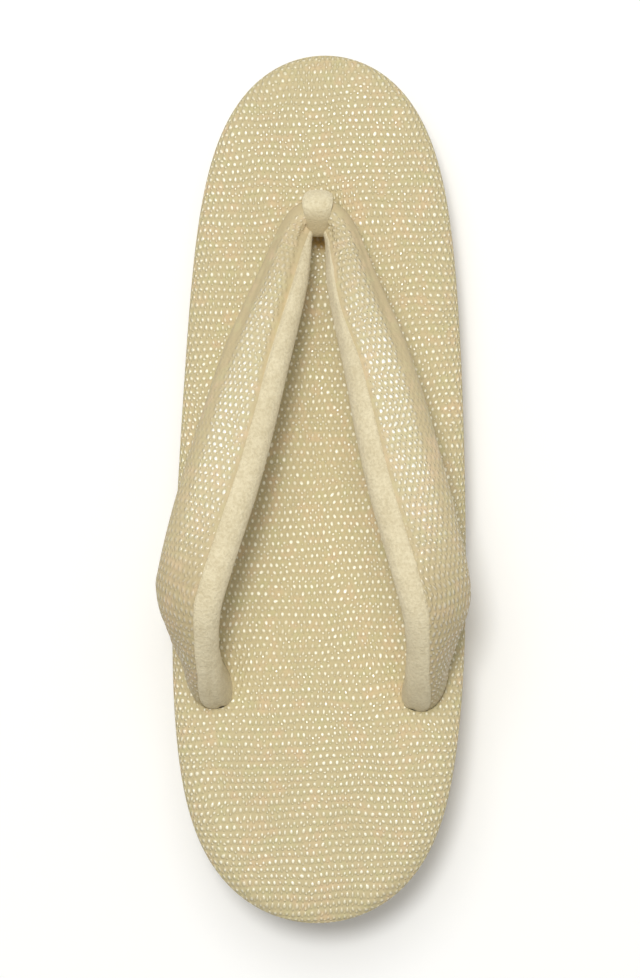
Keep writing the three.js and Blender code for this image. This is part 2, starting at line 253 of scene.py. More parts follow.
# Thermoplastic rubber, moulded matt: a dull even beige with a faint cloud and a fine pebble.
RUBBER_COLOUR = "#ab966e"
RUBBER_DARK = "#9c875f"
rubber = new_material("thermoplastic rubber, moulded", RUBBER_COLOUR)
tree = rubber.node_tree
in_shoe = add_node(tree, "ShaderNodeTexCoord").outputs["Object"]
cloud = noise(tree, in_shoe, 9 * MM, 3.0)
pebble = add_node(tree, "ShaderNodeTexVoronoi", {"Vector": in_shoe, "Scale": 1 / (0.9 * MM)})
put_surface(
    tree,
    {
        "Base Color": mixed(tree, cloud, RUBBER_DARK, RUBBER_COLOUR),
        "Roughness": 0.78,
        "IOR": 1.5,
        "Normal": bumped(tree, pebble.outputs["Distance"], 0.06 * MM),
    },
)

tread_edge = OUTSOLE_INSET + TREAD_CHAMFER
outsole_rings = [(tread_edge, share, floor_height, 0.0) for share in (1.0, 0.8, 0.6, 0.4, 0.2, 0.0)]
for turn in (30, 60, 90):
    angle = math.radians(turn)
    drawn = tread_edge - TREAD_CHAMFER * math.sin(angle)
    up = TREAD_CHAMFER * (1 - math.cos(angle))
    outsole_rings.append((drawn, 0.0, lifted(floor_height, up), 0.0))
outsole_top = lifted(floor_height, OUTSOLE_THICKNESS)
below_top = lifted(floor_height, OUTSOLE_THICKNESS - OUTSOLE_TOP_CHAMFER)
outsole_rings.append((OUTSOLE_INSET, 0.0, below_top, 0.0))
for share in (0.0, 0.2, 0.4, 0.6, 0.8, 1.0):
    outsole_rings.append((OUTSOLE_INSET + OUTSOLE_TOP_CHAMFER, share, outsole_top, 0.0))
outsole = make_piece(sole_body(outsole_rings), "outsole_tread")


def round_edges(bm, edges, radius, segments):
    bmesh.ops.bevel(
        bm,
        geom=edges,
        offset=radius,
        affect="EDGES",
        segments=segments,
        profile=0.5,
        material=-1,
    )


grooves = bmesh.new()
for first, last in (BALL_GROOVES_Y, HEEL_GROOVES_Y):
    for number in range(round((last - first) / GROOVE_PITCH) + 1):
        y = first + number * GROOVE_PITCH
        length = 2 * (half_width_at(y) - OUTSOLE_INSET - GROOVE_EDGE)
        size = Matrix.Diagonal((length, GROOVE_WIDTH, 2 * GROOVE_DEPTH, 1))
        matrix = Matrix.Translation((0, y, floor_height(y))) @ size
        bmesh.ops.create_cube(grooves, size=1, matrix=matrix)
groove_tops = [edge for edge in grooves.edges if all(vert.co.z > 0 for vert in edge.verts)]
round_edges(grooves, groove_tops, GROOVE_ROUNDING, 3)
cut_away(outsole, make_piece(grooves, "groove_cutter"), CUT_CREASE)
fasten(outsole, "outsole", rubber)

# Midsole. The wedge that lifts the heel, one block of light cream foam, ground a little hollow
# round its side and glued between the rubber and the footbed.

BALL_HEIGHT, HEEL_HEIGHT = 28.0, 47.0
BALL_Y = 45.0
HEEL_FLAT_LENGTH = 36.0
TOE_LIFT = 2.5
FOOTBED_THICKNESS = 8.0
LAYER_GAP = 0.3
MIDSOLE_INSET = 1.2
SIDE_TAPER = 2.4
MIDSOLE_EDGE = 0.8
SIDE_CURVE, SIDE_HOLLOW = 0.75, 0.25
SIDE_STEPS = 10


def top_height(y):
    climb = ease(0, 1, (BALL_Y - y) / (BALL_Y - HEEL_Y - HEEL_FLAT_LENGTH))
    lift = max(0.0, (y - BALL_Y) / (TOE_Y - BALL_Y)) ** 2
    return BALL_HEIGHT + (HEEL_HEIGHT - BALL_HEIGHT) * climb + TOE_LIFT * lift


def wedge_height(share, drop=0.0):
    """A height inside the wedge, as a share of the way from the rubber to the footbed."""

    def height(y):
        low = floor_height(y) + OUTSOLE_THICKNESS + LAYER_GAP
        high = top_height(y) - FOOTBED_THICKNESS - LAYER_GAP
        return blend(low, high, share) - drop

    return height


low_inset, top_inset = MIDSOLE_INSET + SIDE_TAPER, MIDSOLE_INSET + MIDSOLE_EDGE
midsole_rings = [(low_inset, share, wedge_height(0), 0.0) for share in (1.0, 0.75, 0.5, 0.25, 0.0)]
for number in range(1, SIDE_STEPS):
    share = number / SIDE_STEPS
    drawn = SIDE_TAPER * (1 - share) ** SIDE_CURVE * (1 - SIDE_HOLLOW * share)
    midsole_rings.append((MIDSOLE_INSET + drawn, 0.0, wedge_height(share), 0.0))
for turn in (0, 45, 90):
    angle = math.radians(turn)
    inset = MIDSOLE_INSET + MIDSOLE_EDGE * (1 - math.cos(angle))
    drop = MIDSOLE_EDGE * (1 - math.sin(angle))
    midsole_rings.append((inset, 0.0, wedge_height(1, drop), 0.0))
midsole_rings += [(top_inset, share, wedge_height(1), 0.0) for share in (0.25, 0.5, 0.75, 1.0)]
midsole = make_piece(sole_body(midsole_rings), "midsole_wedge")

# EVA foam, cut and ground: matt and even, with the small closed cells just showing.
FOAM_COLOUR = "#d2c198"
FOAM_SHADE = "#c6b389"
foam = new_material("EVA foam, ground", FOAM_COLOUR)
tree = foam.node_tree
in_shoe = add_node(tree, "ShaderNodeTexCoord").outputs["Object"]
cells = add_node(tree, "ShaderNodeTexVoronoi", {"Vector": in_shoe, "Scale": 1 / (0.8 * MM)})
stretched = add_node(tree, "ShaderNodeMapping", {"Vector": in_shoe, "Scale": (1.0, 1.0, 5.0)})
grinding = noise(tree, stretched.outputs["Vector"], 4 * MM, 4.0)
rough_height = number_math(tree, "ADD", grinding, cells.outputs["Distance"])
put_surface(
    tree,
    {
        "Base Color": mixed(tree, grinding, FOAM_SHADE, FOAM_COLOUR),
        "Roughness": 0.85,
        "IOR": 1.45,
        "Normal": bumped(tree, rough_height, 0.08 * MM),
    },
)

# The strap's course. One stuffed band runs from the left rear hole over the toe post to the right
# one. Its table is needed here for the holes in the sole, and below for the band itself.

POST_Y = 72.7
STRAP_REACH = 124.2
HOLE_FROM_MIDDLE = 26.5
STRAP_RISE = 33.0
STRAP_WIDTH = 26.0
STRAP_THICKNESS = 8.6
FACE_CROWN = 0.58
SQUARENESS = 2.3
ANCHOR_DEPTH = 15.0
HOLE_CLEARANCE = 0.4
FRONT_LEAN = 0.8
TANGENT_STEP = 0.004
STATION_CROWDING = 1.2
RELIEF_GLINT_SHADE_LAYER = "beads_relief_glint_shade"
COLUMNS = ("at", "back", "out", "rise", "tilt", "wide", "thick", "seam")
STRAP_ROWS = (
    (0.000, 0.000, 0.000, 0.43, 0, 0.31, 0.76, 16),
    (0.025, 0.012, 0.135, 0.44, 5, 0.32, 0.76, 18),
    (0.054, 0.042, 0.221, 0.46, 12, 0.35, 0.80, 22),
    (0.090, 0.083, 0.273, 0.52, 18, 0.42, 0.88, 32),
    (0.160, 0.155, 0.352, 0.66, 22, 0.55, 0.98, 44),
    (0.308, 0.320, 0.593, 0.91, 22, 0.72, 1.08, 54),
    (0.511, 0.546, 0.869, 1.10, 22, 0.81, 1.12, 59),
    (0.660, 0.724, 1.097, 1.08, 30, 0.81, 1.12, 59),
    (0.727, 0.809, 1.181, 0.96, 41, 0.81, 1.13, 56),
    (0.795, 0.881, 1.149, 0.74, 55, 0.65, 1.15, 50),
    (0.869, 0.942, 1.090, 0.44, 73, 0.60, 1.20, 44),
    (0.938, 0.984, 1.052, 0.11, 84, 0.60, 1.25, 40),
    (1.000, 1.000, 1.028, -0.18, 88, 0.58, 1.26, 40),
)


def strap_value(name, at):
    """A column of the table at any share of the arm, smooth through every row."""
    index = COLUMNS.index(name)
    sign = -1 if name == "out" else 1
    before = [(-row[0], sign * row[index]) for row in (STRAP_ROWS[2], STRAP_ROWS[1])]
    rows = before + [(row[0], row[index]) for row in STRAP_ROWS]
    first = len(rows) - 2
    for number in range(len(rows) - 1):
        if rows[number + 1][0] > at:
            first = number
            break

    def slope(number):
        low = rows[max(0, number - 1)]
        high = rows[min(len(rows) - 1, number + 1)]
        return (high[1] - low[1]) / (high[0] - low[0])

    span = rows[first + 1][0] - rows[first][0]
    t = (at - rows[first][0]) / span
    t2, t3 = t * t, t * t * t
    from_low = (2 * t3 - 3 * t2 + 1) * rows[first][1] + (t3 - 2 * t2 + t) * span * slope(first)
    from_high = (3 * t2 - 2 * t3) * rows[first + 1][1] + (t3 - t2) * span * slope(first + 1)
    return from_low + from_high


def strap_middle(at):
    y = POST_Y - STRAP_REACH * strap_value("back", at)
    z = top_height(y) + STRAP_RISE * strap_value("rise", at)
    return Vector((HOLE_FROM_MIDDLE * strap_value("out", at), y, z))


def strap_frame(at):
    """The right arm's middle, its way along, to its inner edge and out of its face."""
    along = (strap_middle(at + TANGENT_STEP) - strap_middle(at - TANGENT_STEP)).normalized()
    outward = Vector((0, 0, 1)).cross(along).normalized()
    upward = along.cross(outward)
    tilt = math.radians(strap_value("tilt", at))
    inner = upward * math.sin(tilt) - outward * math.cos(tilt)
    face = outward * math.sin(tilt) + upward * math.cos(tilt)
    return strap_middle(at), along, inner, face


def squared(value, squareness):
    """A cosine or sine, bent to make the round squarer."""
    return math.copysign(abs(value) ** (2 / squareness), value)


def band_spot(at, degrees, inset):
    """A point of the band's round section: across toward the inner edge, and out of the face."""
    turn = math.radians(degrees)
    crown = FACE_CROWN if math.sin(turn) > 0 else 1 - FACE_CROWN
    half_width = STRAP_WIDTH * strap_value("wide", at) / 2 - inset
    height = STRAP_THICKNESS * strap_value("thick", at) * crown - inset
    across = half_width * squared(math.cos(turn), SQUARENESS)
    return across, height * squared(math.sin(turn), SQUARENESS)


def band_stations(steps, extra):
    """Shares of the arm from the post to the hole, closer together by the post, then one more
    section down in the sole."""
    stations = [((number / steps) ** STATION_CROWDING, 0.0) for number in range(steps + 1)]
    middle, along, _, _ = strap_frame(1.0)
    depth = middle.z - top_height(middle.y) + ANCHOR_DEPTH + extra
    return stations + [(1.0, depth / -along.z)]


def band_body(steps, around, angles, inset_at, extra=0.0, relief_glint_shade_at=None):
    """The whole band from hole to hole, laid on a grid: its rows are sections, and its columns the
    given angles. Each point's inset is worked out from its place and its arm's side, and so is how
    far the leather's beads stand up there, which also places their painted highlight and painted
    shade."""
    bm = bmesh.new()
    relief_glint_shade = bm.verts.layers.float.new(RELIEF_GLINT_SHADE_LAYER)
    bmesh.ops.create_grid(bm, x_segments=2 * steps + 2, y_segments=around, size=1)
    stations = band_stations(steps, extra)
    frames = [strap_frame(at) for at, _ in stations]
    flat = bm.verts.layers.float_vector.new("flat")
    lengths = [0.0]
    for number in range(1, len(stations)):
        here = frames[number][0] + frames[number][1] * stations[number][1]
        lengths.append(lengths[-1] + (here - frames[number - 1][0]).length)
    rows = {}
    for vert in bm.verts:
        rows.setdefault(round(vert.co.x * (steps + 1)), []).append(vert)
    for row, verts in rows.items():
        number, side = abs(row), (1 if row >= 0 else -1)
        at, beyond = stations[number]
        middle, along, inner, face = frames[number]
        verts.sort(key=lambda vert: vert.co.y)
        laid, last, crown = 0.0, None, 0.0
        for column, vert in enumerate(verts):
            degrees = angles(at, column / around, side)
            across, up = band_spot(at, degrees, inset_at(at, degrees, side))
            spot = middle + along * beyond + inner * across + face * up
            laid += (spot - last).length if last else 0.0
            crown = laid if degrees <= 90 else crown
            last = spot
            x = 0.0 if number == 0 else side * spot.x
            vert.co = (x - FRONT_LEAN * (1 - ease(0, 0.5, at)), spot.y, spot.z)
            vert[flat] = (laid, side * lengths[number], 0)
            vert[relief_glint_shade] = relief_glint_shade_at(at, degrees, side) if relief_glint_shade_at else 1.0
        for vert in verts:
            vert[flat] = (vert[flat].x - crown, vert[flat].y, 0)
    lay_flat(bm, flat)
    return bm


def close_band(bm):
    """Joins the first and last columns of a round band, and closes its two hidden ends."""
    bmesh.ops.remove_doubles(bm, verts=bm.verts[:], dist=SAME_SPOT)
    open_edges = [edge for edge in bm.edges if edge.is_boundary]
    bmesh.ops.holes_fill(bm, edges=open_edges, sides=0)
    bmesh.ops.recalc_face_normals(bm, faces=bm.faces[:])
    return bm


def hole_cutter(name, clearance):
    """The band grown by a clearance, which leaves the two rear holes in a layer of the sole."""
    bm = band_body(
        steps=30,
        around=48,
        angles=lambda at, share, side: 360 * share,
        inset_at=lambda at, degrees, side: -clearance,
        extra=HOLE_CLEARANCE,
    )
    return make_piece(close_band(bm), name)


# The toe post's outline from the side: a round loop about the band, narrowing to its stem. Behind,
# its top slopes down; the loop is broad in front, less so at its nose, and slim behind.

JOINT_Z = strap_middle(0.0).z
LOOP_WALL = 1.8
LOOP_HALF_LENGTH = STRAP_WIDTH * strap_value("wide", 0.0) / 2 + HOLE_CLEARANCE + LOOP_WALL
JOINT_HALF_HEIGHT = STRAP_THICKNESS * strap_value("thick", 0.0) * FACE_CROWN
LOOP_HALF_HEIGHT = JOINT_HALF_HEIGHT + HOLE_CLEARANCE + LOOP_WALL
LOOP_WIDTH, LOOP_REAR_WIDTH = 8.1, 5.4
LOOP_TAPER_Y, LOOP_TAPER_LENGTH = -6.0, 8.9
NOSE_Y, NOSE_NARROWING = 4.6, 0.35
STEM_LENGTH, STEM_WIDTH, STEM_DEPTH = 7.2, 5.6, 15.0
STEM_CORNER = 1.6
NECK = 5.4
LEG_STEPS = 6
REAR_START, REAR_DROP, REAR_SLOPE, REAR_SQUARENESS = 1.0, 4.2, 1.1, 12


def post_side(steps):
    """Points of the post's outline from the foot of its front leg over the top to its rear leg:
    how far toward the toes, and how high over the middle of the loop."""
    bottom = top_height(POST_Y) - STEM_DEPTH - JOINT_Z
    down = [number / LEG_STEPS for number in range(LEG_STEPS)]
    leg = [(STEM_LENGTH / 2, blend(bottom, -NECK, share)) for share in down]
    for number in range(steps):
        z = blend(-NECK, 0.0, number / steps)
        leg.append((blend(STEM_LENGTH / 2, LOOP_HALF_LENGTH, ease(-NECK, 0, z)), z))
    over = []
    for number in range(2 * steps + 1):
        turn = math.pi * number / (2 * steps)
        y, z = LOOP_HALF_LENGTH * math.cos(turn), LOOP_HALF_HEIGHT * math.sin(turn)
        if y < REAR_START:
            back = (REAR_START - y) / (REAR_START + LOOP_HALF_LENGTH)
            end = math.sqrt(max(0.0, 1 - (-y / LOOP_HALF_LENGTH) ** REAR_SQUARENESS))
            z = (LOOP_HALF_HEIGHT - REAR_DROP * back**REAR_SLOPE) * end
        over.append((y, z))
    return leg + over + [(-y, z) for y, z in reversed(leg)]


def post_half_width(y, z):
    taper = min(1.0, max(0.0, (y - LOOP_TAPER_Y) / LOOP_TAPER_LENGTH)) ** 0.75
    loop = blend(LOOP_REAR_WIDTH, LOOP_WIDTH, taper) / 2
    loop -= NOSE_NARROWING * ease(NOSE_Y, LOOP_HALF_LENGTH, y)
    return blend(STEM_WIDTH / 2, loop, ease(-LOOP_HALF_HEIGHT, 0, z))


def stem_cutter(name):
    """The post's stem grown by its clearance, which leaves the front hole."""
    bm = bmesh.new()
    stem = (STEM_WIDTH, STEM_LENGTH, 2 * STEM_DEPTH)
    size = Matrix.Diagonal([side + 2 * HOLE_CLEARANCE for side in stem] + [1])
    middle = Matrix.Translation((0, POST_Y, top_height(POST_Y)))
    bmesh.ops.create_cube(bm, size=1, matrix=middle @ size)
    upright = [
        edge for edge in bm.edges if abs(edge.verts[0].co.z - edge.verts[1].co.z) > STEM_DEPTH
    ]
    round_edges(bm, upright, STEM_CORNER, 5)
    return make_piece(bm, name)


cut_away(midsole, hole_cutter("rear_hole_cutter", HOLE_CLEARANCE), CUT_CREASE)
cut_away(midsole, stem_cutter("front_hole_cutter"), CUT_CREASE)
fasten(midsole, "midsole", foam)

# Footbed. A cushion of soft foam under embossed leather, which is wrapped down round the rim and
# glued beneath. The strap and the post go down through its three holes, where it is drawn in.

RIM_RADIUS = 3.0
RIM_UNDERCUT = 1.0
RIM_STEPS = 9
TOP_STEPS = 26
UNDER_RUN = 10.0
FOOTBED_CROWN = 0.8
EDGE_ROLL = 1.5
EDGE_ROLL_SIDE, EDGE_ROLL_END = 7.0, 12.0
RIM_BEADS = 0.5
HUG_CLEARANCE = 0.05
LEATHER_CREASE = 55

# Where the cover is drawn in: a hole's middle, half its width and length, and the depth.
DIMPLE_REACH = 2.6
HOLE_SPOTS = (
    (0.0, POST_Y, STEM_WIDTH / 2, STEM_LENGTH / 2, 1.6),
    (27.2, -49.0, 5.6, 7.6, 0.7),
    (-27.2, -49.0, 5.6, 7.6, 0.7),
)

side_run = FOOTBED_THICKNESS - RIM_RADIUS
rim_run = RIM_RADIUS * math.pi / 2
footbed_under = lifted(top_height, -FOOTBED_THICKNESS)
footbed_rings = [
    (RIM_UNDERCUT, share, footbed_under, UNDER_RUN) for share in (1.0, 0.7, 0.4, 0.15, 0.0)
]
for turn in (30, 60, 90):
    angle = math.radians(turn)
    inset = RIM_UNDERCUT * (1 - math.sin(angle))
    height = lifted(footbed_under, RIM_UNDERCUT * (1 - math.cos(angle)))
    footbed_rings.append((inset, 0.0, height, side_run + rim_run - RIM_RADIUS))
for number in range(RIM_STEPS + 1):
    angle = math.pi / 2 * number / RIM_STEPS
    inset = RIM_RADIUS * (1 - math.cos(angle))
    height = lifted(top_height, -RIM_RADIUS * (1 - math.sin(angle)))
    run = rim_run * (1 - number / RIM_STEPS) - RIM_RADIUS
    footbed_rings.append((inset, 0.0, height, run))
for number in range(1, TOP_STEPS + 1):
    share = number / TOP_STEPS
    height = lifted(top_height, FOOTBED_CROWN * (1 - (1 - share) ** 2))
    footbed_rings.append((RIM_RADIUS, share, height, -RIM_RADIUS))
footbed_mesh = sole_body(footbed_rings)
relief_glint_shade = footbed_mesh.verts.layers.float.new(RELIEF_GLINT_SHADE_LAYER)
for vert in footbed_mesh.verts:
    x, y = vert.co.x, vert.co.y
    from_side, from_end = half_width_at(y) - abs(x), min(TOE_Y - y, y - HEEL_Y)
    # Toward the rim the beads stand lower, and their painted highlight fades there too.
    vert[relief_glint_shade] = blend(RIM_BEADS, 1.0, min(ease(-2, 4, from_side), ease(0, 15, from_end)))
    up_the_rim = min(1.0, max(0.0, (vert.co.z - top_height(y)) / RIM_RADIUS + 1))
    flat_side, flat_end = ease(0, EDGE_ROLL_SIDE, from_side), ease(0, EDGE_ROLL_END, from_end)
    lowered = EDGE_ROLL * max(1 - flat_side, 1 - flat_end) ** 1.5 * up_the_rim
    if up_the_rim > 0.8:
        for hole_x, hole_y, half_wide, half_long, depth in HOLE_SPOTS:
            away = math.hypot((x - hole_x) / half_wide, (y - hole_y) / half_long)
            past = max(0.0, away - 1) * (half_wide + half_long) / 2
            lowered += depth * math.exp(-((past / DIMPLE_REACH) ** 2))
    vert.co.z -= lowered
footbed = make_piece(footbed_mesh, "footbed_cushion")
cut_away(footbed, hole_cutter("rear_hole_cutter", HUG_CLEARANCE), LEATHER_CREASE)
cut_away(footbed, stem_cutter("front_hole_cutter"), LEATHER_CREASE)

# The embossing plate: a bead's width for its length, how far beads stray in mm, where the big and
# the small ones stand in a cell of two rows, and how far from there they end, as a share of the
# cell's width. Over the hide the big beads shrink and grow by up to these mm, and the small ones
# the other way round.
BEAD_ROUNDNESS = 0.76
BEAD_STRAY = 0.5
BIG_BEADS = ((0, 0, 0), (0.5, 0.5, 0))
SMALL_BEADS = ((0.5, 0.18, 0), (0, 0.68, 0))
BIG_REACH, SMALL_REACH, SMALL_HEIGHT = 0.48, 0.26, 0.7
SHRINKING, GROWING, SMALL_RESPONSE = 0.07, -0.09, -2.5
CREST_FADE = 0.4


def map_range(tree, value, low, high, start, end, smooth=False):
    """A value between low and high, laid on the way from start to end."""
    links = {"Value": value, 1: low, 2: high, 3: start, 4: end}
    way = "SMOOTHSTEP" if smooth else "LINEAR"
    return add_node(tree, "ShaderNodeMapRange", links, interpolation_type=way).outputs[0]


def vector_math(tree, operation, *values):
    """A vector worked out of others, or a plain number if it is a length or a distance."""
    links = dict(enumerate(values))
    node = add_node(tree, "ShaderNodeVectorMath", links, operation=operation)
    return node.outputs["Value" if operation in ("LENGTH", "DISTANCE") else "Vector"]


def bead_grain(tree, laid, across, along, slant_degrees, waviness, crest_from):
    """Longish beads pressed into the leather in staggered rows, with a small one now and then in
    the hollow between the rows. Takes the leather laid flat in mm and gives the beads' height,
    0 to 1, and their crests, 0 to 1."""
    slant = (0, 0, math.radians(slant_degrees))
    turned = add_node(tree, "ShaderNodeMapping", {"Vector": laid, "Rotation": slant})
    waves = noise(tree, laid, 14.0, 1.0, "Color")
    waved = vector_math(
        tree, "MULTIPLY_ADD", waves, (waviness, waviness, 0), turned.outputs["Vector"]
    )
    jitter = noise(tree, laid, 1.7, 0.0, "Color")
    stirred = vector_math(tree, "MULTIPLY_ADD", jitter, (BEAD_STRAY, BEAD_STRAY, 0), waved)
    cell_size = (across, 2 * along * BEAD_ROUNDNESS, 0)

    def distance_from(shift):
        cell = vector_math(tree, "MULTIPLY_ADD", stirred, (1 / across, 1 / (2 * along), 0), shift)
        inside = vector_math(tree, "FRACTION", cell)
        centred = vector_math(tree, "SUBTRACT", inside, (0.5, 0.5, 0))
        return vector_math(tree, "LENGTH", vector_math(tree, "MULTIPLY", centred, cell_size))

    big, small = (
        number_math(tree, "MINIMUM", distance_from(first), distance_from(second))
        for first, second in (BIG_BEADS, SMALL_BEADS)
    )
    growth = noise(tree, laid, 3.2, 1.0)
    grown = map_range(tree, growth, 0.3, 0.7, SHRINKING, GROWING)
    big = number_math(tree, "ADD", big, grown)
    small = number_math(tree, "MULTIPLY_ADD", grown, SMALL_RESPONSE, small)
    big_height = map_range(tree, big, 0.0, across * BIG_REACH, 1.0, 0.0, smooth=True)
    small_height = map_range(
        tree, small, 0.0, across * SMALL_REACH, SMALL_HEIGHT, 0.0, smooth=True
    )
    height = number_math(tree, "MAXIMUM", big_height, small_height)
    crest = map_range(tree, height, crest_from, crest_from + CREST_FADE, 0.0, 1.0, smooth=True)
    return height, crest


VALLEY_ROUGHNESS, BEAD_ROUGHNESS, COAT_ROUGHNESS = 0.75, 0.5, 0.22
PEARL_SHARE = 0.45
PORE_HEIGHT = 0.16


def pearl_leather(name, colours, beads, relief, least_painted_glint, coat_ior, painted_shade_spot):
    """Embossed leather with a pearl glaze. Colours are the leather where it is stretched and its
    beads no longer stand up, which on the strap is also painted shade on the steep sides and
    hollows; its ground and bead; a near-white painted highlight for the bead crests; and the green
    and rose of the pearl. The beads are bead_grain's sizes and their relief is in mm. The painted
    highlight is brighter and dimmer in patches, and where it is dimmest a crest keeps the least
    share. The painted shade spot is a brown patch of painted shade, on either side alike: its
    colour, where it is, how far from there it is full and ends, and its greatest share."""
    pulled_and_shaded, ground, bead, painted_glint_colour, green, rose = colours
    material = new_material(name, bead)
    tree = material.node_tree
    laid = add_node(tree, "ShaderNodeUVMap", uv_map=LEATHER_MAP).outputs["UV"]
    height, crest = bead_grain(tree, laid, *beads)
    relief_glint_shade = add_node(tree, "ShaderNodeAttribute", attribute_name=RELIEF_GLINT_SHADE_LAYER).outputs["Fac"]
    height = number_math(tree, "MULTIPLY", height, map_range(tree, relief_glint_shade, 0.0, 0.5, 0.12, 1.0))
    crest = number_math(tree, "MULTIPLY", crest, map_range(tree, relief_glint_shade, 0.3, 1.0, 0.0, 1.0))
    # Where the beads stand low the stretched colour takes over; on the strap it is darker, as
    # painted shade.
    body = mixed(tree, relief_glint_shade, pulled_and_shaded, mixed(tree, height, ground, bead))

    patches = noise(tree, laid, 4.5, 2.0, "Color")
    patch_apart = add_node(tree, "ShaderNodeSeparateColor", {"Color": patches})
    green_share = map_range(tree, patch_apart.outputs[0], 0.5, 0.72, 0.0, PEARL_SHARE)
    rose_share = map_range(tree, patch_apart.outputs[1], 0.52, 0.74, 0.0, PEARL_SHARE)
    pearled = mixed(tree, rose_share, mixed(tree, green_share, body, green), rose)
    # Patches where the painted crest highlight is brighter or dimmer.
    glint_patches = noise(tree, laid, 2.4, 2.0)
    drift = noise(tree, laid, 34.0, 1.0)
    both = number_math(tree, "MULTIPLY_ADD", drift, 0.9, glint_patches)
    bright = map_range(tree, both, 0.82, 1.04, least_painted_glint, 1.0)
    painted_glint_share = number_math(tree, "MULTIPLY", crest, bright)
    # A near-white painted highlight laid on each bead's crest.
    painted_glint_mix = mixed(tree, painted_glint_share, pearled, painted_glint_colour)

    # A brown painted shade spot, laid alike on both sides of the shoe.
    colour, shade_spot_x, shade_spot_y, full, end, most = painted_shade_spot
    in_shoe = add_node(tree, "ShaderNodeTexCoord").outputs["Object"]
    apart = add_node(tree, "ShaderNodeSeparateXYZ", {"Vector": in_shoe})
    sideways = number_math(tree, "ABSOLUTE", apart.outputs["X"])
    in_plan = add_node(tree, "ShaderNodeCombineXYZ", {"X": sideways, "Y": apart.outputs["Y"]})
    middle = (shade_spot_x * MM, shade_spot_y * MM, 0)
    away = vector_math(tree, "DISTANCE", in_plan.outputs[0], middle)
    painted_shade_share = map_range(tree, away, full * MM, end * MM, most, 0.0, smooth=True)

    pores = noise(tree, laid, 0.5, 3.0)
    leather_height = number_math(tree, "MULTIPLY_ADD", pores, PORE_HEIGHT, height)
    normal = bumped(tree, leather_height, relief * MM)
    put_surface(
        tree,
        {
            "Base Color": mixed(tree, painted_shade_share, painted_glint_mix, colour),
            "Roughness": map_range(tree, height, 0.1, 0.8, VALLEY_ROUGHNESS, BEAD_ROUGHNESS),
            "IOR": 1.5,
            "Coat Weight": map_range(tree, height, 0.25, 0.8, 0.0, 1.0),
            "Coat Roughness": COAT_ROUGHNESS,
            "Coat IOR": coat_ior,
            "Normal": normal,
            "Coat Normal": normal,
        },
    )
    return material


# Split leather, plate-embossed with beads and sprayed with a pearl glaze: every bead's crest
# catches the light, helped by a near-white painted highlight, and the colour drifts between straw,
# pale green and rose. Behind the toe post a brown painted shadow is laid on it.
footbed_leather = pearl_leather(
    "bead-embossed leather, pearl glazed",
    # The fourth colour is a painted highlight on the bead crests.
    colours=("#c6b88d", "#c3b48a", "#d3c599", "#fffae0", "#c3bd89", "#dab991"),
    beads=(1.62, 1.95, -3.0, 3.0, 0.48),
    relief=0.34,
    least_painted_glint=0.5,
    coat_ior=1.7,
    # A painted shadow just behind the toe post.
    painted_shade_spot=("#9c7830", 0.0, POST_Y - 5.0, 2.2, 5.4, 0.85),
)
fasten(footbed, "footbed", footbed_leather)

# Strap lining. The stuffed core of the band under a soft suede cloth, which shows along the inner
# side and underneath. The leather face is turned in and sewn to it along both edges.

STRAP_WALL = 1.6
STRAP_GAP = 0.1
STRAP_WRAP = 28.0
ARM_STEPS = 120
LINING_AROUND = 72
SEAM_BOW, SEAM_BOW_AT, SEAM_BOW_LENGTH = 12.0, 0.20, 0.08

# Long soft folds of the leather, which fan out from under the post, and the dents where it bends
# down to its holes; the padding beneath follows. They are listed: which arm, where along it they
# start and end, the angle there and there, how wide in degrees, and how deep in mm, which is
# negative for a ridge.
FACE_FOLDS = (
    (1, 0.005, 0.36, 34, 57, 22, 0.95),
    (1, 0.030, 0.170, 26, 34, 18, -0.30),
    (1, 0.015, 0.26, 96, 88, 11, -0.40),
    (1, 0.030, 0.36, 136, 122, 15, 0.60),
    (1, 0.060, 0.20, 112, 108, 7, 0.20),
    (-1, 0.005, 0.38, 38, 57, 24, 1.75),
    (-1, 0.030, 0.170, 26, 34, 18, -0.70),
    (-1, 0.015, 0.24, 98, 90, 11, -0.45),
    (-1, 0.030, 0.38, 134, 122, 14, 0.60),
    (-1, 0.030, 0.18, 84, 78, 7, 0.16),
    (-1, 0.050, 0.22, 114, 110, 7, 0.20),
    (1, 0.740, 0.93, 96, 108, 16, 0.40),
    (-1, 0.750, 0.92, 92, 104, 15, 0.50),
)

# Hollows and ridges of the lining itself, in the same way.
LINING_FOLDS = (
    (1, 0.84, 1.01, 10, 4, 7, 0.40),
    (-1, 0.82, 1.01, 12, 2, 7, 0.55),
    (-1, 0.03, 0.16, 12, 12, 20, -0.70),
    (1, 0.05, 0.40, 8, 8, 26, 0.75),
)

# Short creases across the band where it bends down to its hole: arm, place, length and depth.
LINING_CREASES = (
    (1, 0.812, 0.006, 0.16),
    (1, 0.838, 0.007, 0.22),
    (1, 0.868, 0.006, 0.14),
    (-1, 0.806, 0.006, 0.20),
    (-1, 0.829, 0.006, 0.16),
    (-1, 0.857, 0.008, 0.24),
)

# Soft dents: where along the arm and how long, the angle and how wide, and how deep. The post
# squeezes the inner edges of both arms where they part behind it.
POST_PRESS = (0.032, 0.034, 44, 32, 1.0)


def fold_depth(folds, at, degrees, side):
    """How far the long folds press the surface in at one point."""
    total = 0.0
    for arm, start, end, first, last, wide, deep in folds:
        if arm != side or not start < at < end:
            continue
        share = (at - start) / (end - start)
        middle = blend(first, last, share)
        fade = math.sin(math.pi * share) ** 0.8
        total += deep * fade * math.exp(-(((degrees - middle) / wide) ** 2))
    return total


def crease_depth(creases, at, degrees, side):
    """How far the short cross creases press it in, each a little askew."""
    total = 0.0
    for arm, place, length, deep in creases:
        if arm == side:
            bend = (at - place + 0.0002 * degrees) / length
            total += deep * math.exp(-bend * bend)
    return total


